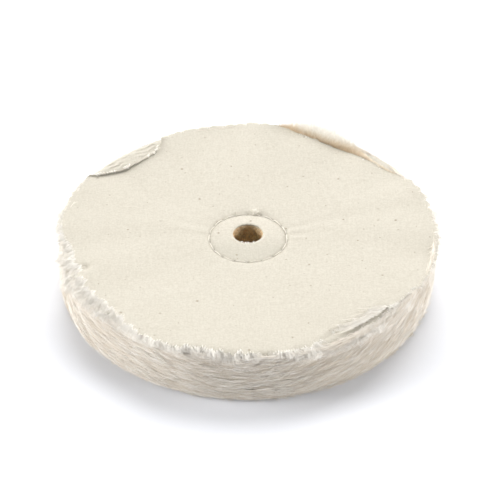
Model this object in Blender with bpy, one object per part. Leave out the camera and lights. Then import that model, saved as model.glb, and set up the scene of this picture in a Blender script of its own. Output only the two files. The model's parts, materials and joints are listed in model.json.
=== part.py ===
"""A loose-leaf cloth buffing wheel, lying flat.

Thirty round cotton leaves are held together by one sewn ring about the arbor hole. The stitches squeeze the
leaves at the hub, and past them the leaves fan out, so the rim is thicker than the hub. The needle thread runs
on top and the bobbin thread underneath, and both go down the same needle holes until they meet.

Sizes are in metres. The wheel's axis is +Z, and the origin is on it, at the level that the wheel rests on.
"""

import math

import bmesh
import bpy
from mathutils import Vector

# The wheel
WHEEL_RADIUS = 0.1000
ARBOR_RADIUS = 0.0080
RIM_HEIGHT = 0.0305
HUB_BOTTOM = 0.0016
HUB_TOP = 0.0286

# The leaves
LEAF_COUNT = 30
LEAF_THICKNESS = 0.00058
HUB_PLATEAU_RADIUS = 0.0270
FOOT_RADIUS = 0.0700
RIM_RAGGEDNESS = 0.0007
RAGGED_STEP = math.radians(137.5)

# The sewn ring, which isn't quite concentric with the arbor hole. The needle that makes it is three-edged, and
# so are the holes that it leaves and the thread's legs in them.
STITCH_COUNT = 18
STITCH_RADIUS = 0.0204
STITCH_CENTRE = Vector((0.0, -0.0033, 0.0))
NEEDLE_HOLE_RADIUS = 0.00124
THREAD_GAP = 0.0003
THREAD_RADIUS = 0.0004
THREAD_LEG_RADIUS = 0.00058
THREAD_ARCH = 0.0002
THREAD_SIDES = 6
LEG_SIDES = 3
MEETING_GAP = 0.0006

# The knot that finishes the needle thread, at the back of the ring
KNOT_STITCH = 4
KNOT_RADIUS = 0.0007
KNOT_SEGMENTS = 8
KNOT_RINGS = 6
TAIL_LENGTH = 0.0042
TAIL_RADIUS = 0.0003
TAIL_SPREAD = math.radians(34)

SECTOR = math.tau / STITCH_COUNT
ORIGIN = Vector((0.0, 0.0, 0.0))
CLOTH_COLOUR = (0.80, 0.72, 0.61)
THREAD_COLOUR = (0.84, 0.78, 0.68)


def clear_scene():
    for obj in list(bpy.data.objects):
        bpy.data.objects.remove(obj, do_unlink=True)


def material(name, colour, roughness):
    made = bpy.data.materials.new(name)
    made.use_nodes = True
    shader = made.node_tree.nodes["Principled BSDF"]
    shader.inputs["Base Color"].default_value = (*colour, 1.0)
    shader.inputs["Roughness"].default_value = roughness
    shader.inputs["Metallic"].default_value = 0.0
    made.diffuse_color = (*colour, 1.0)
    return made


def polar(centre, radius, angle, height=0.0):
    return centre + Vector((radius * math.cos(angle), radius * math.sin(angle), height))


def needle_hole_centre(stitch):
    """The needle holes are in the middle of the sectors that the leaf is divided into."""
    return polar(STITCH_CENTRE, STITCH_RADIUS, (stitch + 0.5) * SECTOR)


def object_from(mesh_builder, name, look):
    bmesh.ops.recalc_face_normals(mesh_builder, faces=mesh_builder.faces)
    mesh = bpy.data.meshes.new(name)
    mesh_builder.to_mesh(mesh)
    mesh_builder.free()
    mesh.materials.append(look)
    made = bpy.data.objects.new(name, mesh)
    bpy.context.scene.collection.objects.link(made)
    return made


# ---- the leaves


def leaf_rings(hub_level, rim_level, rim_radius, has_foot):
    """The points of one side of a leaf, by ring. The hub is flat as far as the plateau's edge."""
    lift = Vector((0.0, 0.0, hub_level))
    starts = [sector * SECTOR for sector in range(STITCH_COUNT)]
    halves = [half * SECTOR / 2 for half in range(2 * STITCH_COUNT)]
    rings = {
        "bore": [polar(lift, ARBOR_RADIUS, angle) for angle in starts],
        "plateau": [polar(lift + STITCH_CENTRE, HUB_PLATEAU_RADIUS, angle) for angle in starts],
        "rim": [polar(ORIGIN, rim_radius, angle, rim_level) for angle in halves],
    }
    for stitch in range(STITCH_COUNT):
        turn = (stitch + 0.5) * SECTOR
        middle = needle_hole_centre(stitch) + lift
        corners = [turn, turn + math.tau / 3, turn - math.tau / 3]
        rings[f"hole_{stitch}"] = [polar(middle, NEEDLE_HOLE_RADIUS, angle) for angle in corners]
    if has_foot:
        rings["foot"] = [polar(ORIGIN, FOOT_RADIUS, angle, rim_level) for angle in halves]
    return rings


def fan_out(leaf, inner, outer):
    """Joins a ring to one with twice its points."""
    count = len(inner)
    for index in range(count):
        start, after = inner[index], inner[(index + 1) % count]
        first, middle, last = (outer[(2 * index + step) % (2 * count)] for step in range(3))
        leaf.faces.new((start, first, middle))
        leaf.faces.new((start, middle, after))
        leaf.faces.new((after, middle, last))


def fill_side(leaf, points):
    """The faces of one side: each sector of the flat hub has a needle hole in it."""
    bore, plateau = points["bore"], points["plateau"]
    for sector in range(STITCH_COUNT):
        after = (sector + 1) % STITCH_COUNT
        tip, left, right = points[f"hole_{sector}"]
        leaf.faces.new((bore[sector], bore[after], left, right))
        leaf.faces.new((bore[after], plateau[after], tip, left))
        leaf.faces.new((plateau[after], plateau[sector], tip))
        leaf.faces.new((plateau[sector], bore[sector], right, tip))
    if "foot" in points:
        fan_out(leaf, plateau, points["foot"])
        foot, rim = points["foot"], points["rim"]
        for index in range(len(rim)):
            after = (index + 1) % len(rim)
            leaf.faces.new((foot[index], rim[index], rim[after], foot[after]))
    else:
        fan_out(leaf, plateau, points["rim"])


def add_leaf(number, look):
    share = (number - 1) / (LEAF_COUNT - 1)
    hub_level = HUB_BOTTOM + share * (HUB_TOP - LEAF_THICKNESS - HUB_BOTTOM)
    rim_level = share * (RIM_HEIGHT - LEAF_THICKNESS)
    is_outer = number in (1, LEAF_COUNT)
    short_by = 0.0 if is_outer else RIM_RAGGEDNESS * (1 + math.sin(number * RAGGED_STEP))
    rings = leaf_rings(hub_level, rim_level, WHEEL_RADIUS - short_by, number == 1)

    leaf = bmesh.new()
    sides = []
    for lift in (0.0, LEAF_THICKNESS):
        rise = Vector((0.0, 0.0, lift))
        side = {name: [leaf.verts.new(point + rise) for point in ring] for name, ring in rings.items()}
        fill_side(leaf, side)
        sides.append(side)
    lower, upper = sides
    for name in lower:
        if name in ("plateau", "foot"):
            continue
        count = len(lower[name])
        for index in range(count):
            after = (index + 1) % count
            leaf.faces.new((lower[name][index], lower[name][after], upper[name][after], upper[name][index]))
    return object_from(leaf, f"leaf_{number:02d}", look)


# ---- the thread


def add_tube(mesh_builder, points, radius, sides, is_closed):
    """A tube round a path. Its sections stand upright, square to the path."""
    count = len(points)
    sections = []
    for index, point in enumerate(points):
        ahead = points[(index + 1) % count] if is_closed else points[min(index + 1, count - 1)]
        behind = points[index - 1] if is_closed else points[max(index - 1, 0)]
        along = (ahead - behind).normalized()
        across = along.cross(Vector((0.0, 0.0, 1.0))).normalized()
        upward = across.cross(along)
        section = []
        for side in range(sides):
            angle = math.tau * side / sides
            place = point + radius * (math.cos(angle) * across + math.sin(angle) * upward)
            section.append(mesh_builder.verts.new(place))
        sections.append(section)
    for index in range(count if is_closed else count - 1):
        here, there = sections[index], sections[(index + 1) % count]
        for side in range(sides):
            after = (side + 1) % sides
            mesh_builder.faces.new((here[side], here[after], there[after], there[side]))
    if not is_closed:
        mesh_builder.faces.new(sections[0])
        mesh_builder.faces.new(sections[-1])


def run_height(station, level, outward):
    """The thread lies low at each needle hole, and arches over the middle of each stitch."""
    return level + outward * THREAD_ARCH * (station % 2 == 0)


def add_thread(name, face_level, outward, meeting_level, look):
    """One thread of the lockstitch: its visible run, and a leg down each needle hole to where the two threads meet.

    outward is 1 for the needle thread on top, and -1 for the bobbin thread underneath.
    """
    level = face_level + outward * (THREAD_GAP + THREAD_RADIUS)
    run = bmesh.new()
    stations = [
        polar(STITCH_CENTRE, STITCH_RADIUS, station * SECTOR / 2, run_height(station, level, outward))
        for station in range(2 * STITCH_COUNT)
    ]
    add_tube(run, stations, THREAD_RADIUS, THREAD_SIDES, True)
    thread = object_from(run, name, look)

    legs = bmesh.new()
    for stitch in range(STITCH_COUNT):
        turn = (stitch + 0.5) * SECTOR
        middle = needle_hole_centre(stitch)
        ends = []
        for height in (meeting_level, level):
            angles = (turn + math.tau * side / LEG_SIDES for side in range(LEG_SIDES))
            ends.append([legs.verts.new(polar(middle, THREAD_LEG_RADIUS, angle, height)) for angle in angles])
        low, high = ends
        legs.faces.new(low)
        legs.faces.new(high)
        for side in range(LEG_SIDES):
            after = (side + 1) % LEG_SIDES
            legs.faces.new((low[side], low[after], high[after], high[side]))
    union(thread, object_from(legs, f"{name}_legs", look))
    return thread


def add_knot(thread, look):
    """A small knot on the needle thread, with its two cut ends lying outwards on the cloth."""
    centre = needle_hole_centre(KNOT_STITCH)
    turn = (KNOT_STITCH + 0.5) * SECTOR
    middle = centre + Vector((0.0, 0.0, HUB_TOP + THREAD_GAP + KNOT_RADIUS))
    knot = bmesh.new()
    bmesh.ops.create_uvsphere(knot, u_segments=KNOT_SEGMENTS, v_segments=KNOT_RINGS, radius=KNOT_RADIUS)
    bmesh.ops.translate(knot, verts=knot.verts, vec=middle)
    union(thread, object_from(knot, "knot_ball", look))
    for way in (-1, 1):
        tail = bmesh.new()
        start = middle - Vector((0.0, 0.0, KNOT_RADIUS / 2))
        heading = turn + way * TAIL_SPREAD
        ends = [start, polar(start, TAIL_LENGTH, heading, KNOT_RADIUS / 2)]
        add_tube(tail, ends, TAIL_RADIUS, THREAD_SIDES, False)
        union(thread, object_from(tail, f"knot_tail_{way}", look))


def union(target, addition):
    """Joins a hidden helper to its piece as one body."""
    addition.hide_render = True
    addition.display_type = "WIRE"
    join = target.modifiers.new(f"join_{addition.name}", "BOOLEAN")
    join.operation = "UNION"
    join.solver = "EXACT"
    join.object = addition


def main():
    clear_scene()
    for number in range(1, LEAF_COUNT + 1):
        add_leaf(number, material(f"leaf_{number:02d}_cotton", CLOTH_COLOUR, 0.95))
    middle = (HUB_BOTTOM + HUB_TOP) / 2
    needle_look = material("needle_thread_cotton", THREAD_COLOUR, 0.85)
    needle = add_thread("needle_thread", HUB_TOP, 1, middle + MEETING_GAP / 2, needle_look)
    add_knot(needle, needle_look)
    bobbin_look = material("bobbin_thread_cotton", THREAD_COLOUR, 0.85)
    add_thread("bobbin_thread", HUB_BOTTOM, -1, middle - MEETING_GAP / 2, bobbin_look)
    for obj in bpy.data.objects:
        if not obj.name.startswith("leaf_"):
            obj.data.shade_smooth()


main()
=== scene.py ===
"""The looks of the loose-leaf cloth polishing wheel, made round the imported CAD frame.

Every CAD leaf is replaced by a leaf of woven cotton, and the two CAD threads by twisted sewing thread. The
frayed rim is made of tens of thousands of separate tapering strands, in locks that are combed round it.
Lengths are in metres, angles in degrees unless a name says otherwise, and 0 degrees is +X, 270 is the front.
"""

import json
import math

import bpy
import numpy as np
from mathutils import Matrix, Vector


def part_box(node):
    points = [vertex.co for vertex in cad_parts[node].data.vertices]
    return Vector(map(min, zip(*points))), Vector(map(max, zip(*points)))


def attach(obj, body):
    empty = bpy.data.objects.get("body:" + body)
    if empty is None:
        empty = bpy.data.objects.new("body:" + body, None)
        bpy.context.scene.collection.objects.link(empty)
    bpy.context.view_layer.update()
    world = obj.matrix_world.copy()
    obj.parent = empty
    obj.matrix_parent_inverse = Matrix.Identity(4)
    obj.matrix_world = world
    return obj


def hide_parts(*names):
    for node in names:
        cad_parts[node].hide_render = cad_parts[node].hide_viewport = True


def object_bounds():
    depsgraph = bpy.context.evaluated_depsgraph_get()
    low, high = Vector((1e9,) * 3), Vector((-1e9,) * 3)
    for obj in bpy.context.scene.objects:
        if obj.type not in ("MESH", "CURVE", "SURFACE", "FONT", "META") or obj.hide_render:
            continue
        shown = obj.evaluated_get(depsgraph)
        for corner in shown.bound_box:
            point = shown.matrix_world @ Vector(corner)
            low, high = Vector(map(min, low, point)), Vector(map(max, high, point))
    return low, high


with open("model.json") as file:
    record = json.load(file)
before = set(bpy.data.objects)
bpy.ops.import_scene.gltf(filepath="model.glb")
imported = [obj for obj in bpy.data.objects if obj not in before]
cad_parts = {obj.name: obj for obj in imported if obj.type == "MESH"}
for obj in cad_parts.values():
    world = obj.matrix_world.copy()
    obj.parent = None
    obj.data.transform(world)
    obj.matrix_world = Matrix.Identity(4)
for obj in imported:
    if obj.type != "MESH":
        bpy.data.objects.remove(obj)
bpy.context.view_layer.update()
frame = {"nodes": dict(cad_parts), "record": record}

MM = 0.001

# ---- the frame: what the CAD says

mounts = {mount["name"]: mount for mount in frame["record"]["mounts"]}
HUB_TOP = mounts["top_clamp_face"]["pos_m"][2]
HUB_BOTTOM = mounts["bottom_clamp_face"]["pos_m"][2]
WHEEL_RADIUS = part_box("leaf_01")[1].x
RIM_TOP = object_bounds()[1][2]
LEAVES = sorted(name for name in frame["nodes"] if name.startswith("leaf_"))
ARBOR_RADIUS = 8.0 * MM
CAD_LEAF_THICKNESS = 0.58 * MM
PLATEAU_RADIUS = 27.0 * MM

# The sewn ring: the same numbers as in the CAD
STITCH_COUNT = 18
STITCH_RADIUS = 20.4 * MM
STITCH_CENTRE = np.array([0.0, -3.3 * MM])
# The knot's tuft lies between two needle holes
KNOT_ANGLE = 80.0
# Where pale wisps of the top leaf stick out into the arbor hole
BORE_WISPS = (248.0, 262.0, 272.0, 291.0)
# Where the sewing puckers the cloth most (angle, half width, share)
PUCKERS = ((5.0, 28.0, 0.6), (172.0, 26.0, 1.0), (118.0, 16.0, 0.6), (232.0, 14.0, 0.5))

# ---- the cloth

CLOTH_THICKNESS = 0.45 * MM
CREAM = ((0.526, 0.490, 0.412), (0.564, 0.528, 0.449))
LARGE_FLECK = (0.20, 0.15, 0.09)
SMALL_FLECK = (0.30, 0.24, 0.17)
# The painted warm brown shade deep in the arbor hole
BORE_SHADE = ((0.74, 0.47, 0.22), (0.97, 0.80, 0.52))
# The colour of the painted shade in the needle holes and the deepest dents
NEEDLE_SHADE = (0.16, 0.12, 0.08)
# How finely a leaf's grid is divided round the wheel and outwards: first for the leaves that show most
FINE_TURNS, COARSE_TURNS = 480, 240
FINE_STEPS, COARSE_STEPS = 98, 26

# How far out the top leaf lies flat (angle, radius in millimetres). Past this crest it hangs over the rim.
TOP_CREST = (
    (0, 97.5),
    (15, 97.8),
    (27, 98.0),
    (31, 96.5),
    (35, 93.5),
    (39, 91.8),
    (50, 91.6),
    (57, 90.2),
    (62, 89.8),
    (68, 91.6),
    (73, 94.0),
    (77, 97.0),
    (84, 97.8),
    (105, 97.6),
    (130, 96.6),
    (150, 97.8),
    (172, 98.0),
    (180, 96.0),
    (185, 92.2),
    (190, 89.8),
    (196, 91.2),
    (199.5, 88.6),
    (202, 91.4),
    (209, 91.6),
    (219, 89.8),
    (226, 91.2),
    (234, 94.8),
    (241, 96.4),
    (249, 96.2),
    (255, 92.0),
    (262, 92.6),
    (275, 93.6),
    (283, 92.0),
    (289, 90.8),
    (297, 87.6),
    (309, 86.4),
    (316, 88.0),
    (319, 92.0),
    (328, 94.0),
    (333, 96.0),
    (345, 97.0),
)
# How much cloth hangs over past the crest, and how much more or less in places (angle, half width, length)
OVERHANG = 2.4 * MM
OVERHANGS = (
    (54.0, 26.0, -2.3 * MM),
    (262.0, 8.0, 1.6 * MM),
    (287.0, 13.0, 2.4 * MM),
    (308.0, 10.0, 1.4 * MM),
)
# How ragged its edge is (angle, half width, share)
TOP_TORN = ((205.0, 22.0, 0.6), (256.0, 8.0, 0.4), (300.0, 12.0, 0.6))
# The lip at the back left, where it is folded back over itself (angle, depth in millimetres)
TOP_LIP = (
    (119.5, 0.0),
    (121.5, 3.0),
    (126.0, 8.2),
    (132.0, 9.8),
    (138.0, 11.0),
    (142.0, 10.0),
    (146.0, 6.0),
    (149.0, 2.0),
    (150.5, 0.0),
)
# Soft hollows that run outwards from the sewing (angle, half width, depth). A depth below 0 is a ridge.
SOFT_HOLLOWS = (
    (184.0, 6.0, 0.40 * MM),
    (170.0, 5.0, -0.20 * MM),
    (15.0, 5.0, 0.30 * MM),
    (352.0, 7.0, 0.25 * MM),
    (217.0, 6.0, 0.25 * MM),
    (330.0, 6.0, -0.20 * MM),
    (146.0, 6.0, 0.20 * MM),
)
# Dents in the top leaf (angle, radius, width, depth). The first two also get painted shade in them.
TOP_DENTS = (
    (199.5, 89.0 * MM, 2.6 * MM, 1.6 * MM),
    (317.0, 92.0 * MM, 2.4 * MM, 1.8 * MM),
    (223.0, 91.0 * MM, 3.0 * MM, 0.7 * MM),
)
# The four leaves under the top one, at the back right: where they reach further out, where they stand back,
# each less than the one above it, and where the second leaf curls up (angle, half width, length)
LEAVES_NEAR_TOP = 4
SECOND_EDGE_REACH = ((38.0, 12.0, 3.0 * MM),)
SECOND_EDGE_BAYS = ((63.0, 12.0, 3.0 * MM),)
SECOND_CURL = ((40.0, 8.0, 1.5 * MM),)
# The tufts that a leaf's frayed edge is drawn into, their general weight, and where there are more or fewer
# (angle, half width, weight)
EDGE_TUFTS = 420
EDGE_TUFT_WEIGHT = 0.4
FRAYED_MOST = (
    (204.0, 26.0, 1.8),
    (264.0, 24.0, 0.9),
    (298.0, 16.0, 1.7),
    (309.0, 9.0, 2.2),
    (5.0, 20.0, 0.4),
    (50.0, 24.0, -0.38),
    (134.0, 16.0, -0.35),
)
# How far the edge's threads are ravelled, and how much more or less in places (angle, half width, length)
EDGE_RAVEL = 2.0 * MM
EDGE_RAVELS = (
    (203.0, 26.0, 6.5 * MM),
    (236.0, 10.0, 2.0 * MM),
    (262.0, 11.0, 3.2 * MM),
    (290.0, 12.0, 5.0 * MM),
    (309.0, 9.0, 4.5 * MM),
    (5.0, 22.0, 1.2 * MM),
    (56.0, 20.0, -1.8 * MM),
)

# ---- the frayed rim

# How steeply the strands rise as they go round the wheel (angle, slope)
COMB_SLOPES = (
    (0, 42),
    (45, 24),
    (90, 10),
    (135, 5),
    (180, 2),
    (225, 0),
    (262, 3),
    (285, 17),
    (302, 31),
    (330, 38),
)
# Where the strands are swept over the top leaf (angle, half width, share)
SWEPT_OVER = ((311.0, 12.0, 1.0),)
# Where neighbouring locks cross each other (angle, half width, share)
COMBED_LOOSELY = ((318.0, 38.0, 1.0),)
LOCK_COUNT = 7200
STRANDS_PER_LOCK = 8
RIM_PIECES = 9
RIM_ROOT_RADIUS = 94.0 * MM
OUTER_STRANDS = 6500
EDGE_FRAYS = 6500
BOTTOM_FRAYS = 5000
RIM_FUZZ_FIBRES = 7000
BACK_FUZZ_FIBRES = 6500
BORE_FRAYS = 7000
THREADS_PER_BORE_WISP = 9
SWEPT_THREADS = 330
SWEPT_WISPS = 26
# The fuzz at the back right: where it starts and how far round it goes
BACK_FUZZ_START = 32.0
BACK_FUZZ_SPAN = 49.0
# How far its painted tan shade reaches from the top leaf's edge
FUZZ_SHADE_DEPTH = 4.2 * MM
STRAND_POINTS = 6
STRAND_SHARE = np.linspace(0.0, 1.0, STRAND_POINTS)[None, :]

# The sewing thread: three plies twisted together, and the tuft where it is tied off
STATIONS_PER_STITCH = 40
PLIES = 3
PLY_SIDES = 6
PLY_OFFSET = 0.12 * MM
PLY_RADIUS = 0.13 * MM
TWISTS_PER_STITCH = 4
KNOT_THREADS = 90

# The palest and the deepest shade of each kind of fibre
LOOSE_COTTON = ((0.94, 0.90, 0.83), (0.66, 0.575, 0.465))
# A paler copy of the loose cotton for the strands that lie in the light: painted light
PALER_LIT_COTTON = ((0.93, 0.905, 0.855), (0.78, 0.735, 0.65))
# The back fuzz: pale, and painted warm shade at its deep end
FUZZ_SHADED_COTTON = ((0.99, 0.97, 0.91), (0.76, 0.61, 0.41))
# The arbor hole's fibres, their brown painted warm shade
BORE_SHADED_COTTON = ((0.98, 0.87, 0.64), (0.90, 0.65, 0.37))
SEWING_COTTON = ((0.76, 0.72, 0.64), (0.66, 0.61, 0.52))

# ---- the stage

FLOOR_COLOUR = (0.795, 0.805, 0.84)
FLOOR_WIDTH = 12.0
TENT_HORIZON = 1.08
TENT_ZENITH = 0.06
# Each lamp's azimuth, elevation, width and strength
LAMPS = {
    "key": (84.0, 48.0, 50.0, 3.75),
    "left": (180.0, 11.0, 38.0, 5.8),
    "right": (-10.0, 9.0, 38.0, 4.9),
}
CAMERA_ELEVATION = math.radians(38.35)
CAMERA_DISTANCE = 1.0
CAMERA_LENS_MM = 135.8
CAMERA_AIM = Vector((1.1 * MM, 1.6 * MM, 16.6 * MM))


# ---- small helpers


def smooth(value):
    """0 to 1, with flat ends."""
    value = np.clip(value, 0.0, 1.0)
    return value * value * (3 - 2 * value)


def turn_between(angle, centre):
    """The signed angle from centre to angle, from -180 to 180."""
    return (angle - centre + 180.0) % 360.0 - 180.0


def bumps(angle, features):
    """The sum of rounded bumps (centre, half width, height) at these angles."""
    total = np.zeros_like(angle, dtype=float)
    for centre, half_width, height in features:
        total += height * np.exp(-((turn_between(angle, centre) / half_width) ** 2))
    return total


def waves(seed, turns, rate, count=24):
    """A smooth random function of an angle and a length, about -1 to 1, which closes round the wheel."""
    rng = np.random.default_rng(seed)
    around = rng.integers(turns[0], turns[1] + 1, count)
    along = rng.normal(0.0, rate, count)
    phase = rng.uniform(0.0, math.tau, count)

    def at(angle, length=0.0):
        total = 0.0
        for turn_count, per_metre, start in zip(around, along, phase):
            total = total + np.cos(turn_count * np.radians(angle) + per_metre * length + start)
        return total / math.sqrt(count)

    return at


def cylinder_point(angle, radius, height):
    turn = np.radians(angle)
    return np.stack([radius * np.cos(turn), radius * np.sin(turn), height], axis=-1)


def mesh_object(name, points, corners, sizes, is_smooth=True):
    """An object from its points, the point numbers of its faces in a row, and how many corners each has."""
    mesh = bpy.data.meshes.new(name)
    mesh.vertices.add(len(points))
    mesh.vertices.foreach_set("co", np.ascontiguousarray(points, dtype=np.float32).ravel())
    mesh.loops.add(len(corners))
    mesh.loops.foreach_set("vertex_index", np.ascontiguousarray(corners, dtype=np.int32))
    mesh.polygons.add(len(sizes))
    starts = np.concatenate([[0], np.cumsum(sizes)[:-1]]).astype(np.int32)
    mesh.polygons.foreach_set("loop_start", starts)
    mesh.update(calc_edges=True)
    if is_smooth:
        mesh.shade_smooth()
    else:
        mesh.shade_flat()
    made = bpy.data.objects.new(name, mesh)
    bpy.context.scene.collection.objects.link(made)
    return made


def give_attribute(piece, name, values):
    layer = piece.data.attributes.new(name, "FLOAT", "POINT")
    layer.data.foreach_set("value", np.ascontiguousarray(values, dtype=np.float32).ravel())


def put_on(piece, look, slot_name, *nodes):
    """Gives the piece its material, lets it ride on the one body, and hides what it replaces."""
    piece.data.materials.append(look)
    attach(piece, "root")
    if nodes:
        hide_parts(*nodes)
    return piece


# ---- materials


def add_node(tree, kind, settings=None, values=None, links=None):
    made = tree.nodes.new(kind)
    for key, value in (settings or {}).items():
        setattr(made, key, value)
    for key, value in (values or {}).items():
        made.inputs[key].default_value = value
    for key, source in (links or {}).items():
        tree.links.new(source, made.inputs[key])
    return made


def mix_colour(tree, share, low, high, blend="MIX"):
    """A Mix node. low and high are colours or sockets, and share is a number or a socket."""
    made = add_node(tree, "ShaderNodeMix", {"data_type": "RGBA", "blend_type": blend})
    for index, value in ((0, share), (6, low), (7, high)):
        if isinstance(value, bpy.types.NodeSocket):
            tree.links.new(value, made.inputs[index])
        else:
            made.inputs[index].default_value = value if index == 0 else (*value, 1.0)
    return made.outputs[2]


def ranged(tree, source, low, high, to_low, to_high):
    limits = {"From Min": low, "From Max": high, "To Min": to_low, "To Max": to_high}
    return add_node(tree, "ShaderNodeMapRange", None, limits, {"Value": source}).outputs[0]


def noise(tree, place, scale, detail=2.0, stretch=(1.0, 1.0, 1.0), roll=0.0):
    """Noise with features of 1 / scale metres, drawn out along an axis where stretch is small."""
    mapped = add_node(
        tree,
        "ShaderNodeMapping",
        None,
        {"Scale": stretch, "Rotation": (0.0, 0.0, roll)},
        {"Vector": place},
    )
    look = {"Scale": scale, "Detail": detail}
    return add_node(tree, "ShaderNodeTexNoise", None, look, {"Vector": mapped.outputs[0]}).outputs[0]


def product(tree, first, second):
    return add_node(tree, "ShaderNodeMath", {"operation": "MULTIPLY"}, None, {0: first, 1: second}).outputs[0]


def flecks(tree, place, spacing, radius, share):
    """Above 0 inside small scattered flecks of many sizes and shades. share is how many cells have one."""
    flat = {"voronoi_dimensions": "2D"}
    cells = add_node(tree, "ShaderNodeTexVoronoi", flat, {"Scale": 1 / spacing}, {"Vector": place})
    drawn = add_node(tree, "ShaderNodeSeparateColor", None, None, {"Color": cells.outputs["Color"]})
    ragged = ranged(tree, noise(tree, place, 1800.0), 0.3, 0.7, 0.6, 1.5)
    shrink = product(tree, ranged(tree, drawn.outputs[1], 0, 1, 0.8, 2.2), ragged)
    distance = product(tree, cells.outputs["Distance"], shrink)
    near = ranged(tree, distance, radius / spacing, 0.4 * radius / spacing, 0.0, 1.0)
    chosen = ranged(tree, drawn.outputs[0], share, share - 0.15, 0.0, 1.0)
    return product(tree, product(tree, near, chosen), ranged(tree, drawn.outputs[2], 0.0, 1.0, 0.3, 1.0))


def new_material(name):
    made = bpy.data.materials.new(name)
    made.use_nodes = True
    tree = made.node_tree
    return made, tree, tree.nodes["Principled BSDF"]


def woven_colour(tree, place, clouds, yarns):
    """Cream yarns with slubs in them. Inside the sewn ring the cloth gets painted light at its back and
    painted shade at its front.
    """
    white = (1.0, 1.0, 1.0)
    slubs = noise(tree, place, 1000.0, 3.0)
    cream = mix_colour(tree, clouds, *CREAM)
    grained = mix_colour(tree, ranged(tree, yarns, 0.75, 1.25, 0.0, 1.0), (0.93, 0.92, 0.91), white)
    mottled = mix_colour(tree, ranged(tree, slubs, 0.35, 0.62, 0.0, 1.0), (0.90, 0.89, 0.87), white)
    woven = mix_colour(tree, 1.0, mix_colour(tree, 1.0, cream, grained, "MULTIPLY"), mottled, "MULTIPLY")
    # Painted light and shade on the hub inside the sewn ring: lighter at its back, darker at its front
    hub_painted_shading = add_node(tree, "ShaderNodeAttribute", {"attribute_name": "hub_painted_shading"}).outputs["Fac"]
    front = ranged(tree, hub_painted_shading, -1.0, 1.0, 0.0, 1.0)
    hub_light_and_shade_tint = mix_colour(tree, front, (1.07, 1.07, 1.08), (0.93, 0.94, 0.94))
    return mix_colour(tree, 1.0, woven, hub_light_and_shade_tint, "MULTIPLY")


def flecked_colour(tree, place, woven):
    large = flecks(tree, place, 9.5 * MM, 0.85 * MM, 0.55)
    small = flecks(tree, place, 3.3 * MM, 0.50 * MM, 0.36)
    marked = mix_colour(tree, ranged(tree, large, 0.0, 1.0, 0.0, 0.75), woven, LARGE_FLECK)
    return mix_colour(tree, ranged(tree, small, 0.0, 1.0, 0.0, 0.4), marked, SMALL_FLECK)


def bore_painted_shade(tree, place, marked):
    """Painted warm brown shade on the wall of the arbor hole, from just below the top leaf down."""
    flat = {1: (1.0, 1.0, 0.0)}
    across = add_node(tree, "ShaderNodeVectorMath", {"operation": "MULTIPLY"}, flat, {0: place})
    away = add_node(tree, "ShaderNodeVectorMath", {"operation": "LENGTH"}, None, {0: across.outputs[0]})
    at_bore = ranged(tree, away.outputs["Value"], ARBOR_RADIUS + 0.2 * MM, ARBOR_RADIUS + 0.02 * MM, 0.0, 1.0)
    level = add_node(tree, "ShaderNodeSeparateXYZ", None, None, {"Vector": place}).outputs["Z"]
    deep = ranged(tree, level, HUB_TOP - 0.25 * MM, HUB_TOP - 0.6 * MM, 0.0, 1.0)
    patchy = ranged(tree, noise(tree, place, 420.0, 3.0, (1.0, 1.0, 0.4)), 0.35, 0.65, 0.0, 1.0)
    return mix_colour(tree, product(tree, at_bore, deep), marked, mix_colour(tree, patchy, *BORE_SHADE))


def cloth_look(name, roll):
    """Unbleached plain-weave cotton: uneven yarns both ways, seed flecks, and a soft bloom at its edges."""
    made, tree, shader = new_material(name)
    place = add_node(tree, "ShaderNodeTexCoord").outputs["Object"]
    clouds = noise(tree, place, 45.0, 3.0)
    warp = noise(tree, place, 1500.0, 2.0, (1.0, 0.12, 1.0), roll)
    weft = noise(tree, place, 1500.0, 2.0, (0.12, 1.0, 1.0), roll)
    yarns = add_node(tree, "ShaderNodeMath", {"operation": "ADD"}, None, {0: warp, 1: weft}).outputs[0]
    marked = flecked_colour(tree, place, woven_colour(tree, place, clouds, yarns))
    bore_shaded = bore_painted_shade(tree, place, marked)
    # Painted shade in the needle holes, in specks by the sewn ring and in the deepest dents
    painted_shade = add_node(tree, "ShaderNodeAttribute", {"attribute_name": "painted_shade"}).outputs["Fac"]
    tree.links.new(mix_colour(tree, painted_shade, bore_shaded, NEEDLE_SHADE), shader.inputs["Base Color"])
    relief = {"Strength": 0.35, "Distance": 0.15 * MM}
    bump = add_node(tree, "ShaderNodeBump", None, relief, {"Height": yarns})
    tree.links.new(bump.outputs[0], shader.inputs["Normal"])
    tree.links.new(ranged(tree, clouds, 0.3, 0.7, 0.88, 0.98), shader.inputs["Roughness"])
    shader.inputs["Specular IOR Level"].default_value = 0.15
    shader.inputs["Sheen Weight"].default_value = 0.2
    shader.inputs["Sheen Roughness"].default_value = 0.6
    return made


def fibre_look(name, pale, deep):
    """Loose cotton fibre. Each strand has its own shade between two colours, a little uneven along it."""
    made, tree, shader = new_material(name)
    place = add_node(tree, "ShaderNodeTexCoord").outputs["Object"]
    shade = add_node(tree, "ShaderNodeAttribute", {"attribute_name": "shade"}).outputs["Fac"]
    own = mix_colour(tree, shade, pale, deep)
    uneven = mix_colour(tree, noise(tree, place, 600.0, 2.0), (0.95, 0.945, 0.94), (1.0, 1.0, 1.0))
    tree.links.new(mix_colour(tree, 1.0, own, uneven, "MULTIPLY"), shader.inputs["Base Color"])
    shader.inputs["Roughness"].default_value = 0.75
    shader.inputs["Specular IOR Level"].default_value = 0.2
    shader.inputs["Sheen Weight"].default_value = 0.3
    shader.inputs["Sheen Roughness"].default_value = 0.5
    return made


# ---- the leaves of cloth

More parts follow.
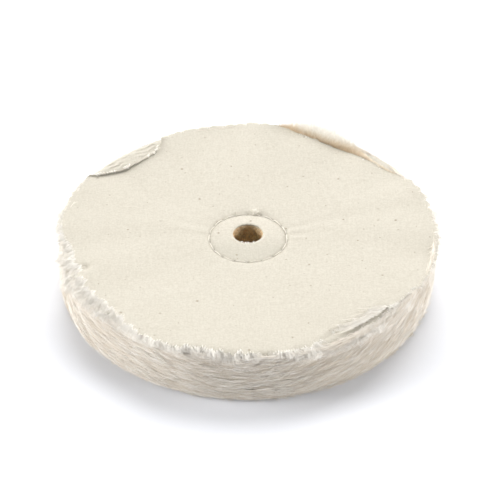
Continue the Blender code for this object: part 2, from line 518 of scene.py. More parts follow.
ring_puckers = waves(11, (12, 30), 60.0)
ring_specks = waves(12, (40, 160), 0.0, 60)
bore_nicks = waves(18, (20, 120), 0.0, 60)
soft_swell = waves(13, (1, 6), 45.0)
rim_wave = waves(14, (5, 19), 30.0)
edge_nicks = waves(15, (40, 140), 20.0, 60)
droop_wave = waves(16, (8, 40), 20.0, 32)
crumple = waves(17, (20, 70), 400.0, 40)


def polar_of(points):
    return np.degrees(np.arctan2(points[..., 1], points[..., 0])), np.hypot(points[..., 0], points[..., 1])


def needle_hole_nearness(ring_distance, ring_angle):
    """1 at a needle hole, falling to 0 about a millimetre away."""
    step = 360.0 / STITCH_COUNT
    around = np.radians(turn_between(ring_angle % step, step / 2)) * STITCH_RADIUS
    return np.exp(-(ring_distance**2 + (0.75 * around) ** 2) / (0.55 * MM) ** 2)


def painted_needle_shade(ring_distance, ring_angle, hole):
    """How much painted shade goes where the sewing is: darkest in the holes by the knot, and least at the
    front, with specks of it just inside the ring.
    """
    by_knot = np.exp(-((turn_between(ring_angle, KNOT_ANGLE) / 14.0) ** 2))
    at_front = np.exp(-((turn_between(ring_angle, 275.0) / 50.0) ** 2))
    specks = np.clip(ring_specks(ring_angle, 0.0) - 0.35, 0.0, 1.0)
    beside = np.exp(-(((ring_distance + 0.35 * MM) / (0.4 * MM)) ** 2))
    return np.clip(hole * (0.8 - 0.3 * at_front + 0.4 * by_knot) + 0.55 * beside * specks, 0.0, 1.0)


def leaf_level(share, away):
    """The height of the leaf at this share of the stack, at a distance from the axis."""
    hub = HUB_BOTTOM + share * (HUB_TOP - CAD_LEAF_THICKNESS - HUB_BOTTOM)
    rim = share * (RIM_TOP - CAD_LEAF_THICKNESS)
    outwards = np.clip((away - PLATEAU_RADIUS) / (WHEEL_RADIUS - PLATEAU_RADIUS), 0.0, 1.0)
    return hub + (rim - hub) * outwards


def sewing_pull(points):
    """How the sewing shapes an outer leaf: domed inside the ring, pinched at it and puckered just outside."""
    ring_angle, ring_radius = polar_of(points - np.array([*STITCH_CENTRE, 0.0]))
    ring_distance = ring_radius - STITCH_RADIUS
    outside = np.clip(ring_distance, 0.0, None)
    inside = np.clip(-ring_distance, 0.0, None)
    dome = 0.45 * MM * (1 - np.exp(-inside / (4.0 * MM)))
    pillow = 0.9 * MM * (1 - np.exp(-outside / (2.6 * MM))) * np.exp(-outside / (38 * MM))
    strength = 0.35 + bumps(ring_angle, PUCKERS)
    pucker = 0.2 * MM * ring_puckers(ring_angle, ring_distance) * strength
    pucker = pucker * np.exp(-outside / (15 * MM)) * (1 - np.exp(-outside / (2 * MM)))
    hole = needle_hole_nearness(ring_distance, ring_angle)
    groove = np.exp(-((ring_distance / (1.1 * MM)) ** 2)) * (0.7 + 0.4 * ring_specks(ring_angle / 3.0, 0.0))
    # Painted hub shading: 1 at the front of the hub inside the ring, for painted shade, and -1 at its back,
    # for painted light
    hub_painted_shading = smooth(inside / (1.5 * MM)) * np.clip(-(points[..., 1] + 2 * MM) / (11 * MM), -1.0, 1.0)
    shape = dome + pillow + pucker - 0.22 * MM * groove - 0.8 * MM * hole
    return shape, painted_needle_shade(ring_distance, ring_angle, hole), hub_painted_shading


def dents(angle, radius, features):
    total = np.zeros_like(radius)
    for centre, distance, width, depth in features:
        around = np.radians(turn_between(angle, centre)) * distance
        total += depth * np.exp(-(around**2 + (radius - distance) ** 2) / width**2)
    return total


def station_shares(steps):
    """Where the rings of points lie between the arbor hole and the bend: closest together at the sewing."""
    radii = np.linspace(ARBOR_RADIUS, 95 * MM, 400)
    density = 1.0 + 4.0 * np.exp(-(((radii - STITCH_RADIUS) / (6.5 * MM)) ** 2))
    passed = np.concatenate([[0.0], np.cumsum(density[1:])])
    chosen = np.interp(np.linspace(0.0, passed[-1], steps), passed, radii)
    return (chosen - chosen[0]) / (chosen[-1] - chosen[0])


def bent_profile(bore, bend_start, bend_length, bend, past, steps):
    """Radii and rises of a leaf that runs flat and then bends, for each direction round the wheel.

    bend is the whole angle of the bend, and past is how much cloth there is past the start of it.
    """
    flat_steps = 7 * steps // 10
    flat = bore[:, None] + (bend_start - bore)[:, None] * station_shares(flat_steps)[None, :]
    run = np.linspace(0.0, 1.0, steps - flat_steps + 1)[None, :] * past[:, None]
    angle = bend[:, None] * np.clip(run[:, 1:] / bend_length[:, None], 0.0, 1.0)
    step = np.diff(run, axis=1)
    radius = bend_start[:, None] + np.cumsum(np.cos(angle) * step, axis=1)
    rise = np.cumsum(np.sin(angle) * step, axis=1)
    return np.concatenate([flat, radius], axis=1), np.concatenate([np.zeros_like(flat), rise], axis=1)


def leaf_grid(share, crest, hanging, lip, curl, hollow, steps):
    """The points of a leaf's sheet, how much painted shade each gets, and how far forward each is for the
    painted hub shading.

    The points are round the wheel by outwards. crest, hanging, lip and curl are by direction, and hollow is a
    table of dents.
    """
    turns = len(crest)
    angle = np.linspace(0.0, 360.0, turns, endpoint=False)
    folded = smooth(lip / (1.2 * MM))
    droop = -np.radians(np.clip(34 + 20 * droop_wave(angle), 5, 75)) * (share - 0.1)
    bend = droop * (1 - folded) + math.pi * 0.98 * folded
    fold_length = (1.0 + 0.8 * smooth((angle - 130.0) / 10.0)) * MM
    bend_length = 4.5 * MM * (1 - folded) + fold_length * folded
    past = hanging * (1 - folded) + (lip + 1.5 * MM) * folded
    bore = ARBOR_RADIUS + 0.13 * MM * bore_nicks(angle + 997.0 * share)
    radius, rise = bent_profile(bore, crest, bend_length, bend, past, steps)
    whole_angle = np.repeat(angle[:, None], steps, axis=1)
    points = cylinder_point(whole_angle, radius, np.zeros_like(radius))
    shaped, hole, hub_painted_shading = sewing_pull(points)
    swell = 0.38 * MM * soft_swell(whole_angle, radius) * smooth((radius - 15 * MM) / (30 * MM))
    wave = 0.35 * MM * share * rim_wave(whole_angle, 0.0) * smooth((radius - 55 * MM) / (45 * MM))
    back = np.clip((crest[:, None] - radius) / MM, 0.0, None) * folded[:, None] * smooth(rise / (0.9 * MM))
    pleat = (back / 3.4 + 0.9 * crumple(whole_angle, 0.0) + 0.3) % 1.0
    creases = MM * smooth(back / 2.0) * (0.25 + 0.55 * pleat**2 * (1.0 + 0.5 * crumple(whole_angle, radius)))
    pressed_down = smooth((back * MM - lip[:, None] + 3 * MM) / (3 * MM))
    creases = creases * (back > 0) * (1 - 0.75 * pressed_down)
    level = leaf_level(share, radius) + (share**4 - (1 - share) ** 4) * shaped + share * swell + wave
    raised = rise + creases + curl[:, None] * smooth((radius - 84 * MM) / (10 * MM))
    run_out = share**4 * bumps(whole_angle, SOFT_HOLLOWS) * smooth((radius - 26 * MM) / (30 * MM))
    points[..., 2] = np.maximum(level + raised - run_out - dents(whole_angle, radius, hollow), 0.05 * MM)
    # The first two dents get painted shade, added to that of the needle holes
    dent_shade = smooth(1.6 * dents(whole_angle, radius, hollow[:2]) / (1.6 * MM) - 0.5) if hollow else 0.0
    return points, np.clip(hole + 0.6 * dent_shade, 0.0, 1.0), hub_painted_shading


def cloth_piece(name, grid, painted_shade, hub_painted_shading):
    rows, columns, _ = grid.shape
    here = np.arange(rows)[:, None] * columns + np.arange(columns - 1)[None, :]
    after = (np.arange(rows)[:, None] + 1) % rows * columns + np.arange(columns - 1)[None, :]
    corners = np.stack([here, here + 1, after + 1, after], axis=-1).reshape(-1)
    piece = mesh_object(name, grid.reshape(-1, 3), corners, np.full(len(corners) // 4, 4))
    give_attribute(piece, "painted_shade", painted_shade)
    give_attribute(piece, "hub_painted_shading", hub_painted_shading)
    thicken = piece.modifiers.new("cloth_thickness", "SOLIDIFY")
    thicken.thickness = CLOTH_THICKNESS
    thicken.offset = 1.0
    return piece


def round_table(angle, table):
    """Interpolates a table of (angle, millimetres) round the wheel."""
    centres, values = zip(*table)
    return np.interp(angle, centres, values, period=360.0) * MM


def leaf_shape(number):
    """The sheet of one leaf, from its number in the stack."""
    share = (number - 1) / (len(LEAVES) - 1)
    below_top = len(LEAVES) - number
    is_outer = number in (1, len(LEAVES))
    turns = FINE_TURNS if is_outer or below_top <= LEAVES_NEAR_TOP else COARSE_TURNS
    angle = np.linspace(0.0, 360.0, turns, endpoint=False)
    crest = (92.5 + 0.9 * waves(100 + number, (3, 40), 0.0, 30)(angle)) * MM
    hanging = np.full(turns, 3.5 * MM)
    lip, curl = np.zeros(turns), np.zeros(turns)
    hollow = ()
    if below_top == 0:
        nicks = edge_nicks(angle)
        crest = round_table(angle, TOP_CREST) + 0.25 * MM * nicks
        torn = (0.3 + bumps(angle, TOP_TORN)) * nicks * MM
        hanging = np.maximum(OVERHANG + bumps(angle, OVERHANGS) + torn, 0.3 * MM)
        lip = np.interp(angle, *zip(*TOP_LIP)) * MM * (1 + 0.05 * nicks)
        hollow = TOP_DENTS
    elif below_top <= LEAVES_NEAR_TOP:
        bay_depth = 1 - 0.2 * (below_top - 1)
        crest = crest + bumps(angle, SECOND_EDGE_REACH) - bay_depth * bumps(angle, SECOND_EDGE_BAYS)
        curl = bumps(angle, SECOND_CURL) * (below_top == 1)
    steps = FINE_STEPS if is_outer else COARSE_STEPS
    return leaf_grid(share, crest, hanging, lip, curl, hollow, steps)


def add_leaves():
    """All the leaves. It gives back the grids of their points."""
    looks = [cloth_look(f"calico_{turn}", math.radians(37 * turn)) for turn in range(4)]
    grids, below = [], []
    for number, node in enumerate(LEAVES, start=1):
        grid, painted_shade, hub_painted_shading = leaf_shape(number)
        piece = cloth_piece(f"cloth_{node}", grid, painted_shade, hub_painted_shading)
        put_on(piece, looks[0 if number == len(LEAVES) else number % 4], "cotton_cloth", node)
        grids.append(grid)
        below = [piece.name]
    return grids


# ---- strands


def strand_faces(stations):
    """The point numbers of one strand's faces in a row, and the corners of each face."""
    quads = [
        (3 * s + a, 3 * s + (a + 1) % 3, 3 * s + 3 + (a + 1) % 3, 3 * s + 3 + a)
        for s in range(stations - 2)
        for a in range(3)
    ]
    last = 3 * (stations - 2)
    tip = 3 * (stations - 1)
    triangles = [(last + a, last + (a + 1) % 3, tip) for a in range(3)] + [(2, 1, 0)]
    pattern = np.array([corner for face in quads + triangles for corner in face])
    return pattern, np.array([4] * len(quads) + [3] * len(triangles))


def strand_object(name, paths, thickness, rng, shades):
    """Three-sided strands that taper to a point, from their paths: strands by points by 3.

    thickness is one per strand. Shade 0 is the pale end of the fibre's look, and shades is one per strand, or
    one for each of its points.
    """
    count, stations, _ = paths.shape
    along = np.gradient(paths, axis=1)
    along /= np.linalg.norm(along, axis=2, keepdims=True) + 1e-12
    reference = rng.normal(size=(count, 1, 3))
    across = np.cross(along, reference)
    across /= np.linalg.norm(across, axis=2, keepdims=True) + 1e-12
    other = np.cross(along, across)
    taper = np.linspace(1.0, 0.25, stations) ** 0.8
    reach = (0.5 * thickness[:, None] * taper[None, :])[..., None]
    sides = []
    for side in range(3):
        turn = math.tau * side / 3
        sides.append(paths + reach * (math.cos(turn) * across + math.sin(turn) * other))
    body = np.stack(sides, axis=2)[:, :-1].reshape(count, -1, 3)
    points = np.concatenate([body, paths[:, -1:, :]], axis=1)
    per_strand = points.shape[1]
    pattern, face_sizes = strand_faces(stations)
    offsets = np.arange(count)[:, None] * per_strand
    corners = (offsets + pattern).ravel()
    piece = mesh_object(name, points.reshape(-1, 3), corners, np.tile(face_sizes, count), is_smooth=False)
    station = np.minimum(np.arange(per_strand) // 3, stations - 1)
    give_attribute(piece, "shade", np.broadcast_to(shades.reshape(count, -1), (count, stations))[:, station])
    give_bake_cells(piece, count, per_strand, offsets + pattern)
    return piece


def give_bake_cells(piece, count, per_strand, corners):
    """A UV map with one small cell for each strand, so that its shade can be baked."""
    columns = math.ceil(math.sqrt(count))
    cell = 1.0 / columns
    local = np.arange(per_strand)
    across = 0.25 + 0.25 * (local % 3)
    upward = 0.15 + 0.7 * (local // 3) / max(local[-1] // 3, 1)
    strand = np.arange(count)
    u = (strand[:, None] % columns + across[None, :]) * cell
    v = (strand[:, None] // columns + upward[None, :]) * cell
    places = np.stack([u.ravel(), v.ravel()], axis=-1)
    layer = piece.data.uv_layers.new(name="OFBake")
    layer.data.foreach_set("uv", places[corners.ravel()].astype(np.float32).ravel())


comb_turbulence = waves(21, (4, 30), 160.0, 30)
wall_swell = waves(22, (2, 11), 50.0)


def comb_slope(angle, height):
    centres, slopes = zip(*COMB_SLOPES)
    base = np.interp(angle, centres, slopes, period=360.0)
    near_top = smooth((height - RIM_TOP + 9 * MM) / (9 * MM)) * (1 - bumps(angle, SWEPT_OVER))
    return base * (1 - 0.6 * near_top) + 3.5 * comb_turbulence(angle, height)


def wall_radius(angle, height):
    """The radius of the frayed rim: a soft wall, a little rounded at its top and bottom."""
    level = np.clip((height / RIM_TOP - 0.5) * 2, -1.0, 1.0)
    return WHEEL_RADIUS + (0.5 * wall_swell(angle, height) - 1.2 - 1.6 * level**6) * MM


def combed_paths(rng, angle, height, length, reach, slope):
    """Strands that leave the leaves' edges and lie over along the rim, in the direction that it is combed.

    Each is held below a ceiling of its own, which is lower where the top leaf's ravelled threads are long.
    """
    count = len(angle)
    share = STRAND_SHARE
    run = length[:, None] * share**1.25
    lean = np.radians(slope)[:, None] + rng.normal(0.0, 0.06, (count, 1)) * share
    root = RIM_ROOT_RADIUS + rng.uniform(0.0, 2.0 * MM, count)
    wall = wall_radius(angle, height) + reach
    radius = root[:, None] + (wall - root)[:, None] * (1 - np.exp(-4.5 * share))
    turned = angle[:, None] + np.degrees(run * np.cos(lean) / WHEEL_RADIUS)
    level = height[:, None] + run * np.sin(lean)
    swept = bumps(angle, SWEPT_OVER)[:, None] * rng.uniform(0.3, 1.0, (count, 1))
    below_top = np.minimum(rng.exponential(1.8, (count, 1)), 7.0) * MM
    under_frays = 0.4 * np.clip(ravel_lengths(angle) - EDGE_RAVEL, 0.0, None)[:, None]
    top = RIM_TOP + 0.1 * MM - below_top * (1 - 0.5 * swept) - under_frays
    over = np.clip(level - top, 0.0, None)
    level = np.minimum(level, top + 0.12 * over)
    level = np.maximum(level, rng.uniform(0.15 * MM, 1.0 * MM, (count, 1)))
    inward = rng.uniform(0.0, 0.35, (count, 1)) + 0.65 * swept
    return cylinder_point(turned, radius - inward * over, level)


def add_rim_locks(look):
    """The frayed rim: locks of strands, each drawn together towards its tip."""
    rng = np.random.default_rng(31)
    lock_angle = rng.uniform(0.0, 360.0, LOCK_COUNT)
    lock_height = rng.uniform(0.5 * MM, RIM_TOP - 1.0 * MM, LOCK_COUNT)
    lock_length = rng.uniform(9.0, 19.0, LOCK_COUNT) * MM
    lock_reach = rng.normal(0.0, 0.15, LOCK_COUNT) * MM
    lock_shade = rng.uniform(0.0, 1.0, LOCK_COUNT) ** 1.3
    lock_stray = rng.normal(0.0, 1.0, LOCK_COUNT) * (2.5 + 6.0 * bumps(lock_angle, COMBED_LOOSELY))
    order = np.argsort(lock_angle)
    for index, members in enumerate(np.array_split(order, RIM_PIECES)):
        lock = np.repeat(members, STRANDS_PER_LOCK)
        count = len(lock)
        spread_angle = rng.normal(0.0, 1.3, count)
        spread_height = rng.normal(0.0, 0.42 * MM, count)
        gather = rng.uniform(0.1, 0.6, count)[:, None]
        slope = comb_slope(lock_angle[lock], lock_height[lock]) + lock_stray[lock]
        length = lock_length[lock] * rng.uniform(0.55, 1.1, count)
        reach = lock_reach[lock] + rng.normal(0.0, 0.15 * MM, count)
        height = np.clip(lock_height[lock] + spread_height, 0.3 * MM, RIM_TOP - 0.6 * MM)
        own = combed_paths(rng, lock_angle[lock] + spread_angle, height, length, reach, slope)
        guide = combed_paths(rng, lock_angle[lock], lock_height[lock], length, reach, slope)
        paths = own + (guide - own) * gather[..., None] * (STRAND_SHARE[..., None] ** 1.5)
        paths[..., 2] = np.maximum(paths[..., 2], 0.12 * MM)
        thickness = rng.uniform(0.12, 0.28, count) * MM
        # Painted light: the strands near the top of the rim are made paler
        near_top = smooth((height - RIM_TOP + 6 * MM) / (5 * MM))
        shades = np.clip(lock_shade[lock] * 0.45 + rng.uniform(0.0, 0.75, count), 0.0, 1.0)
        shades = shades * (1 - 0.7 * near_top)
        piece = strand_object(f"rim_fringe_{index + 1}", paths, thickness, rng, shades)
        put_on(piece, look, "cotton_cloth")


def add_outer_strands(look):
    """Thicker strands that lie loosely over the combed rim, painted paler as lit strands."""
    rng = np.random.default_rng(35)
    angle = rng.uniform(0.0, 360.0, OUTER_STRANDS)
    height = rng.uniform(0.3 * MM, RIM_TOP - 1.5 * MM, OUTER_STRANDS)
    length = rng.uniform(5.0, 15.0, OUTER_STRANDS) * MM
    reach = rng.uniform(0.25, 0.95, OUTER_STRANDS) * MM
    stray = rng.normal(0.0, 4.0, OUTER_STRANDS) * (1.0 + 1.2 * bumps(angle, COMBED_LOOSELY))
    paths = combed_paths(rng, angle, height, length, reach, comb_slope(angle, height) + stray)
    thickness = rng.uniform(0.14, 0.26, OUTER_STRANDS) * MM
    piece = strand_object("rim_outer_strands", paths, thickness, rng, rng.uniform(0.0, 0.25, OUTER_STRANDS))
    put_on(piece, look, "cotton_cloth")


def ravel_lengths(angle):
    """How long the ravelled threads of the top leaf and the second one are."""
    return EDGE_RAVEL + bumps(angle, EDGE_RAVELS)


def edge_at(grid, angle):
    """The points of a leaf's edge at these angles, and which way the cloth goes there."""
    turns = len(grid)
    row = np.round(angle / 360.0 * turns).astype(int) % turns
    edge = grid[row, -1]
    outward = (edge - grid[row, -4]) * np.array([1.0, 1.0, 0.6])
    return edge, outward / np.linalg.norm(outward, axis=1, keepdims=True)


def fray_tufts(rng, count):
    """Which tuft each thread belongs to, and the tufts' angles and leans."""
    tuft = rng.integers(0, EDGE_TUFTS, count)
    places = np.arange(0.0, 360.0, 0.5)
    weights = EDGE_TUFT_WEIGHT + bumps(places, FRAYED_MOST)
    angle = rng.choice(places, EDGE_TUFTS, p=weights / weights.sum()) + rng.uniform(0.0, 0.5, EDGE_TUFTS)
    return tuft, angle, rng.normal(0.25, 0.35, EDGE_TUFTS)


def add_edge_frays(name, grid, count, seed, look, lengths=None):
    """Threads that ravel from a leaf's edge. Each goes on the way that the cloth goes there, and sags."""
    rng = np.random.default_rng(seed)
    tuft, tuft_angle, tuft_lean = fray_tufts(rng, count)
    angle = tuft_angle[tuft] + rng.normal(0.0, 0.55, count)
    edge, outward = edge_at(grid, angle)
    turn = np.radians(angle)
    around = np.stack([-np.sin(turn), np.cos(turn), np.zeros(count)], axis=-1)
    length = (lengths(angle) if lengths else EDGE_RAVEL) * rng.uniform(0.35, 1.15, count)
    lean = tuft_lean[tuft] + rng.normal(0.0, 0.22, count)
    share = STRAND_SHARE[..., None]
    reach = length[:, None, None] * share
    gathered = np.radians(tuft_angle[tuft] - angle)[:, None, None] * WHEEL_RADIUS * 0.7 * share**1.5
    start = edge - outward * rng.uniform(0.2, 1.6, (count, 1)) * MM
    start[:, 2] += rng.uniform(0.1, 0.55, count) * MM
    way = outward * np.cos(lean)[:, None] + around * np.sin(lean)[:, None]
    paths = start[:, None, :] + way[:, None, :] * reach + around[:, None, :] * gathered
    sag = rng.uniform(0.0, 0.4, (count, 1)) * length[:, None] * share[..., 0] ** 1.8
    paths[..., 2] += 0.35 * MM * np.sin(math.pi * share[..., 0]) * rng.uniform(0, 1, (count, 1)) - sag
    paths[..., 2] = np.maximum(paths[..., 2], 0.1 * MM)
    thickness = rng.uniform(0.13, 0.28, count) * MM
    piece = strand_object(name, paths, thickness, rng, rng.uniform(0.0, 0.45, count))
    put_on(piece, look, "cotton_cloth")


def add_rim_fuzz(look):
    """Fine fibres that stand away from the combed rim, most of all at its foot."""
    rng = np.random.default_rng(81)
    count = RIM_FUZZ_FIBRES
    angle = rng.uniform(0.0, 360.0, count)
    height = 0.3 * MM + (RIM_TOP - 0.5 * MM) * rng.uniform(0.0, 1.0, count) ** 1.6
    length = rng.uniform(1.5, 5.0, count) * MM
    share = STRAND_SHARE
    slope = np.radians(comb_slope(angle, height)) + rng.normal(0.0, 0.5, count)
    stand = rng.uniform(0.05, 0.45, count) * (1 + 1.3 * np.exp(-height / (5 * MM)))
    radius = wall_radius(angle, height)[:, None] - 0.6 * MM + length[:, None] * share * np.sin(stand)[:, None]
    radius = radius + 0.25 * MM * np.sin(3.0 * share + rng.uniform(0, 6, (count, 1)))
    run = length[:, None] * share * np.cos(stand)[:, None]
    turned = angle[:, None] + np.degrees(run * np.cos(slope)[:, None] / WHEEL_RADIUS)
    level = np.maximum(height[:, None] + run * np.sin(slope)[:, None] * 0.6, 0.1 * MM)
    paths = cylinder_point(turned, radius, np.minimum(level, RIM_TOP + 0.6 * MM))
    thickness = rng.uniform(0.09, 0.16, count) * MM
    piece = strand_object("rim_fuzz", paths, thickness, rng, rng.uniform(0.0, 0.6, count))
    put_on(piece, look, "cotton_cloth")


def add_swept_tuft(look):
    """The tuft of loose threads that lies back over the top leaf, at the front right."""
    rng = np.random.default_rng(91)
    count = SWEPT_THREADS
    share = STRAND_SHARE
    wisp = rng.integers(0, SWEPT_WISPS, count)
    fan = rng.uniform(0.0, 1.0, SWEPT_WISPS)[wisp]
    length = rng.uniform(0.5, 1.0, count) * rng.uniform(7.0, 19.0, SWEPT_WISPS)[wisp] * MM
    start_angle = 318.5 - 15.0 * fan + rng.normal(0.0, 0.5, count)
    start_radius = (92.2 + 1.0 * fan) * MM + rng.normal(0.0, 0.5 * MM, count)
    inward = 0.62 - 0.5 * fan + rng.normal(0.0, 0.13, count)
    run = length[:, None] * share
    turned = start_angle[:, None] - np.degrees(run * np.cos(inward)[:, None] / (90 * MM))
    waver = 0.4 * MM * np.sin(5 * share + 6 * fan[:, None])
    radius = start_radius[:, None] - run * np.sin(inward)[:, None] + waver
    arch = rng.uniform(0.1, 0.8, (count, 1)) * MM
    level = RIM_TOP - 0.3 * MM + arch * np.sin(math.pi * share**0.7) + rng.uniform(0, 0.4 * MM, (count, 1))
    paths = cylinder_point(turned, radius, level)
    thickness = rng.uniform(0.12, 0.22, count) * MM
    piece = strand_object("swept_tuft", paths, thickness, rng, rng.uniform(0.0, 0.8, count))
    put_on(piece, look, "cotton_cloth")


def add_back_fuzz(look):
    """The fuzz of the lower leaves, which stands up where the top leaf is pulled in at the back right. It
    gets painted tan shade by the top leaf's edge and low down.
    """
    rng = np.random.default_rng(51)
    count = BACK_FUZZ_FIBRES
    share = STRAND_SHARE
    for part in (1, 2):
        angle = BACK_FUZZ_START + BACK_FUZZ_SPAN * rng.beta(1.9, 1.8, count)
        away_from_start = smooth((angle - 43.0) / 13.0)
        inner = round_table(angle, TOP_CREST) + 0.2 * MM
        place = rng.uniform(0.0, 1.0, count) * (0.1 + 0.9 * away_from_start)
        root = inner + (99.0 * MM - inner) * place
        tallness = 0.2 + 0.8 * np.exp(-(((angle - 66.0) / 12.0) ** 2))
        length = np.minimum(2.5 + rng.exponential(3.2, count), 13.0) * MM * tallness
        lean = rng.normal(0.0, 0.45, count)
        outward = length[:, None] * share * rng.uniform(0.1, 0.75, (count, 1))
        upward = length[:, None] * share * (1.0 - 0.2 * share)
        waver = 0.3 * MM * np.sin(4 * share + 6 * place[:, None])
        around = length[:, None] * share * np.sin(lean)[:, None] + waver
        start = RIM_TOP - 1.3 * MM - 1.6 * MM * place
        turned = angle[:, None] + np.degrees(around / WHEEL_RADIUS)
        paths = cylinder_point(turned, root[:, None] + outward, start[:, None] + upward)
        thickness = rng.uniform(0.1, 0.2, count) * MM
        beyond = np.hypot(paths[..., 0], paths[..., 1]) - inner[:, None]
        above = paths[..., 2] - RIM_TOP
        # Painted shade: tan close to the top leaf's edge and low down, paler further out and higher up
        shades = np.clip(1.05 - (0.5 * beyond + 0.7 * above) / FUZZ_SHADE_DEPTH, 0.0, 1.0)
        shades = np.clip(shades + rng.normal(0.0, 0.1, (count, 1)), 0.0, 1.0)
        shades = shades * (0.6 + 0.4 * away_from_start)[:, None]
        piece = strand_object(f"back_edge_fuzz_{part}", paths, thickness, rng, shades)
        put_on(piece, look, "cotton_cloth")


def add_bore_frays(look):
    """Short fibres that line the arbor hole, where the punch cut through the leaves. Their brown is painted
    shade.
    """
    rng = np.random.default_rng(61)
    count = BORE_FRAYS
    angle = rng.uniform(0.0, 360.0, count)
    height = rng.uniform(HUB_BOTTOM, HUB_TOP - 0.8 * MM, count)
    length = rng.uniform(0.8, 2.0, count) * MM
    share = STRAND_SHARE
    lean = rng.normal(0.0, 0.9, count)
    stand = rng.uniform(0.25, 0.75, (count, 1)) * MM
    radius = ARBOR_RADIUS + 0.25 * MM - stand * np.sin(math.pi * 0.6 * share)
    around = np.degrees(length[:, None] * share * np.sin(lean)[:, None] / ARBOR_RADIUS)
    level = height[:, None] + length[:, None] * share * np.cos(lean)[:, None] * 0.8
    level = np.clip(level, HUB_BOTTOM, HUB_TOP - 0.5 * MM)
    paths = cylinder_point(angle[:, None] + around, radius, level)
    thickness = rng.uniform(0.12, 0.26, count) * MM
    piece = strand_object("arbor_hole_frays", paths, thickness, rng, rng.uniform(0.0, 1.0, count))
    put_on(piece, look, "cotton_cloth")


def add_bore_wisps(look):
    """A few pale wisps of the top leaf at the front of the arbor hole."""
    rng = np.random.default_rng(62)
    count = THREADS_PER_BORE_WISP * len(BORE_WISPS)
    angle = np.repeat(BORE_WISPS, THREADS_PER_BORE_WISP) + rng.normal(0.0, 2.0, count)
    share = STRAND_SHARE
    length = rng.uniform(0.7, 1.5, (count, 1)) * MM
    radius = ARBOR_RADIUS + 0.4 * MM - length * share
    level = HUB_TOP + 0.35 * MM + 0.3 * MM * np.sin(math.pi * share) * rng.uniform(0.2, 1.0, (count, 1))
    turned = angle[:, None] + rng.normal(0.0, 3.0, (count, 1)) * share
    paths = cylinder_point(turned, radius, level)
    piece = strand_object("arbor_hole_wisps", paths, np.full(count, 0.2 * MM), rng, np.zeros(count))
    put_on(piece, look, "cotton_cloth")


# ---- the sewing thread


def thread_path(level, outward):
    """The thread's line round the ring: low at the needle holes, arched between them."""
    step = np.arange(STITCH_COUNT * STATIONS_PER_STITCH) / STATIONS_PER_STITCH
    turn = np.radians((step + 0.5) * 360.0 / STITCH_COUNT)
    arch = np.abs(np.sin(math.pi * step)) ** 0.6
    tightness = np.random.default_rng(19).uniform(0.8, 1.05, STITCH_COUNT)[step.astype(int)]
    height = level + outward * (-0.75 + 1.1 * arch * tightness) * MM
    radius = STITCH_RADIUS + 0.12 * MM * ring_specks(np.degrees(turn) / 6.0, 0.0) * arch
    x = STITCH_CENTRE[0] + radius * np.cos(turn)
    y = STITCH_CENTRE[1] + radius * np.sin(turn)
    return np.stack([x, y, height], axis=-1)


def add_thread(name, node, level, outward, look):
    """Plies twisted round the thread's line. outward is 1 for the thread on top, and -1 underneath."""
    path = thread_path(level, outward)
    count = len(path)
    along = np.roll(path, -1, axis=0) - np.roll(path, 1, axis=0)
    along /= np.linalg.norm(along, axis=1, keepdims=True)
    across = np.cross(along, [0.0, 0.0, 1.0])
    across /= np.linalg.norm(across, axis=1, keepdims=True)
    upward = np.cross(across, along)
    twists = TWISTS_PER_STITCH * STITCH_COUNT
    here = np.arange(count)
    after = (here + 1) % count
    points, corners = [], []
    for ply in range(PLIES):
        phase = math.tau * (twists * here / count + ply / PLIES)
        centre = path + PLY_OFFSET * (np.cos(phase)[:, None] * across + np.sin(phase)[:, None] * upward)
        base = ply * count * PLY_SIDES
        for side in range(PLY_SIDES):
            turn = math.tau * side / PLY_SIDES
            points.append(centre + PLY_RADIUS * (math.cos(turn) * across + math.sin(turn) * upward))
            other = (side + 1) % PLY_SIDES
            faces = [base + side * count + here, base + side * count + after]
            faces += [base + other * count + after, base + other * count + here]
            corners.append(np.stack(faces, axis=-1))
    corner_list = np.concatenate(corners).ravel()
    piece = mesh_object(name, np.concatenate(points), corner_list, np.full(len(corner_list) // 4, 4))
    give_attribute(piece, "shade", np.zeros(len(piece.data.vertices)))
    put_on(piece, look, "cotton_thread", node)


def add_knot(look):
    """The tuft where the needle thread is tied off at the back of the ring."""
    rng = np.random.default_rng(71)
    count = KNOT_THREADS
    turn = math.radians(KNOT_ANGLE)
    middle = STITCH_CENTRE + STITCH_RADIUS * np.array([math.cos(turn), math.sin(turn)])
    heading = turn + rng.normal(0.0, 0.75, count)
    length = rng.uniform(1.2, 4.2, count) * MM
    share = STRAND_SHARE
    start = middle + rng.normal(0.0, 0.45 * MM, (count, 2))
    x = start[:, :1] + length[:, None] * share * np.cos(heading)[:, None]
    y = start[:, 1:] + length[:, None] * share * np.sin(heading)[:, None]
    rise = rng.uniform(0.6, 1.6, (count, 1)) * MM
    z = HUB_TOP + 0.4 * MM + rise * np.sin(math.pi * (0.15 + 0.75 * share))
    paths = np.stack([x, y, z], axis=-1)
    piece = strand_object("knot_tuft", paths, np.full(count, 0.28 * MM), rng, np.zeros(count))
    put_on(piece, look, "cotton_thread")


# ---- the stage


def add_floor():
    bpy.ops.mesh.primitive_plane_add(size=FLOOR_WIDTH, location=(0.0, 0.0, 0.0))
    floor = bpy.context.object
    floor.name = "studio_floor"
    made, _, shader = new_material("studio_white")
    shader.inputs["Base Color"].default_value = (*FLOOR_COLOUR, 1.0)
    shader.inputs["Roughness"].default_value = 0.95
    shader.inputs["Specular IOR Level"].default_value = 0.0
    floor.data.materials.append(made)


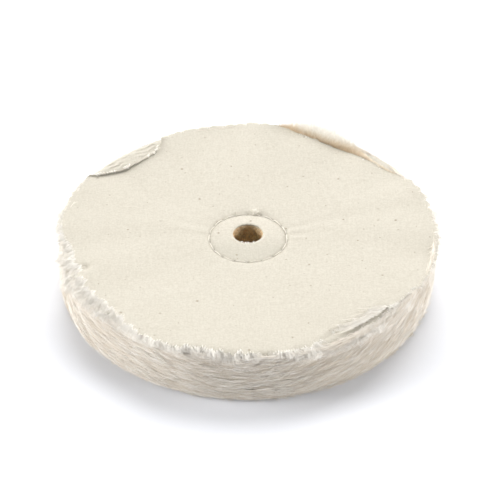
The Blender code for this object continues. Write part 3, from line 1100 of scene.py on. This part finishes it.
def add_softbox(name, azimuth, elevation, width, strength):
    """A wide, far-off lamp that lights the floor evenly, shining from this direction."""
    data = bpy.data.lights.new(name, "SUN")
    data.angle = math.radians(width)
    data.energy = strength
    lamp = bpy.data.objects.new(name, data)
    turn, rise = math.radians(azimuth), math.radians(elevation)
    towards = Vector((math.cos(rise) * math.cos(turn), math.cos(rise) * math.sin(turn), math.sin(rise)))
    lamp.rotation_euler = towards.to_track_quat("Z", "Y").to_euler()
    bpy.context.scene.collection.objects.link(lamp)


def set_world(horizon, zenith):
    """A light tent: brightest at the horizon, and dimmer overhead."""
    world = bpy.data.worlds.new("light_tent")
    world.use_nodes = True
    tree = world.node_tree
    direction = add_node(tree, "ShaderNodeTexCoord").outputs["Generated"]
    upward = add_node(tree, "ShaderNodeSeparateXYZ", None, None, {"Vector": direction}).outputs["Z"]
    background = tree.nodes["Background"]
    background.inputs["Color"].default_value = (1.0, 1.0, 1.0, 1.0)
    tree.links.new(ranged(tree, upward, 0.0, 0.4, horizon, zenith), background.inputs["Strength"])
    bpy.context.scene.world = world


def add_camera():
    data = bpy.data.cameras.new("camera")
    data.lens = CAMERA_LENS_MM
    data.sensor_width = 36.0
    data.clip_start = 0.01
    camera = bpy.data.objects.new("camera", data)
    back = Vector((0.0, -math.cos(CAMERA_ELEVATION), math.sin(CAMERA_ELEVATION)))
    camera.location = CAMERA_AIM + CAMERA_DISTANCE * back
    camera.rotation_euler = (-back).to_track_quat("-Z", "Y").to_euler()
    bpy.context.scene.collection.objects.link(camera)
    bpy.context.scene.camera = camera


def main():
    add_camera()
    add_floor()
    set_world(TENT_HORIZON, TENT_ZENITH)
    for name, settings in LAMPS.items():
        add_softbox(name, *settings)
    bpy.context.scene.view_settings.view_transform = "Standard"

    fibre = fibre_look("loose_cotton", *LOOSE_COTTON)
    lit_fibre = fibre_look("paler_lit_cotton", *PALER_LIT_COTTON)
    fuzz_shaded_fibre = fibre_look("fuzz_shaded_cotton", *FUZZ_SHADED_COTTON)
    bore_shaded_fibre = fibre_look("bore_shaded_cotton", *BORE_SHADED_COTTON)
    thread = fibre_look("sewing_cotton", *SEWING_COTTON)
    grids = add_leaves()
    add_rim_locks(fibre)
    add_outer_strands(lit_fibre)
    add_edge_frays("top_edge_frays_a", grids[-1], EDGE_FRAYS, 41, lit_fibre, ravel_lengths)
    add_edge_frays("top_edge_frays_b", grids[-1], EDGE_FRAYS, 44, lit_fibre, ravel_lengths)
    add_edge_frays("second_edge_frays", grids[-2], EDGE_FRAYS, 42, lit_fibre, ravel_lengths)
    add_edge_frays("bottom_edge_frays", grids[0], BOTTOM_FRAYS, 43, fibre)
    add_rim_fuzz(fibre)
    add_swept_tuft(lit_fibre)
    add_back_fuzz(fuzz_shaded_fibre)
    add_bore_frays(bore_shaded_fibre)
    add_bore_wisps(lit_fibre)
    add_thread("needle_thread_plies", "needle_thread", HUB_TOP, 1, thread)
    add_thread("bobbin_thread_plies", "bobbin_thread", HUB_BOTTOM, -1, thread)
    add_knot(thread)


main()
